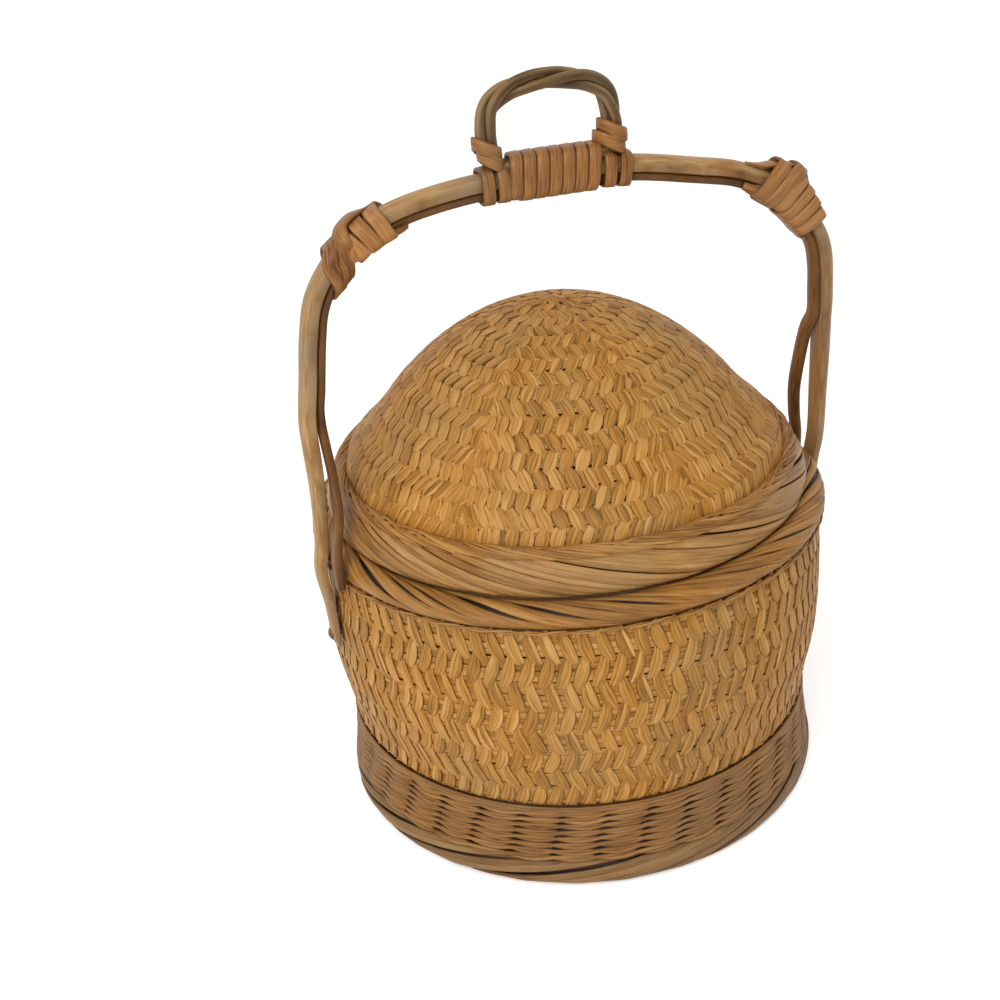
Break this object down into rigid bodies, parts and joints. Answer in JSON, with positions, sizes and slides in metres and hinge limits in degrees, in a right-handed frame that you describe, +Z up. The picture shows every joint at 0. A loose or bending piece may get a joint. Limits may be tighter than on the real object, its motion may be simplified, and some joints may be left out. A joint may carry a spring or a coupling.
{
  "type": "lidded bamboo basket",
  "caption": "Small round woven bamboo basket on a foot ring, with a lift-off domed lid, a fixed arched cane handle and a hanging loop.",
  "frame": {"origin": "on the table, on the axis of the round bowl, under the middle of the handle's arch", "axes": "+Z up; the handle's arch stands parallel to the XZ plane and 7 mm in front of it, its inner cane ends in front (-Y) on the left (-X) leg; the lid lifts along +Z"},
  "size_m": [0.124, 0.1154, 0.1635],
  "materials": {
    "weave": "satin, fine splints, honey tan with darker grain",
    "border": "satin, twisted long splints, brown",
    "twining": "matt, fine twined rows, dark brown",
    "cane": "polished cane skin, brown with orange and grey streaks",
    "binding": "satin flat cane, orange tan",
    "loop_cane": "matt twisted cane, grey brown",
    "splint": "matt raw bamboo, pale"
  },
  "bodies": {
    "basket": {"foot_border": "border", "foot_band": "twining", "foot_stakes": "splint", "bowl_weave": "weave", "mouth_hoop": "splint", "bowl_border": "border", "border_cord": "border", "handle_outer_cane": "cane", "handle_inner_cane": "cane", "leg_peg_left": "splint", "leg_peg_right": "splint", "corner_binding_low_left": "binding", "corner_cross_left": "binding", "corner_binding_high_left": "binding", "corner_binding_low_right": "binding", "corner_cross_right": "binding", "corner_binding_high_right": "binding", "end_wrap_left": "binding", "end_wrap_right": "binding", "centre_binding": "binding", "loop_tails": "loop_cane", "loop_cane_a": "loop_cane", "loop_cane_b": "loop_cane", "loop_cane_c": "loop_cane", "loop_tie_left": "binding", "loop_tie_right": "binding"},
    "lid": {"lid_dome": "weave", "lid_border": "border", "lid_braid": "border", "lid_collar": "splint"}
  },
  "joints": [
    {"name": "lid_lift", "type": "slide", "parent": "basket", "child": "lid", "axis": [0, 0, 1], "range_m": [0, 0.021]}
  ]
}
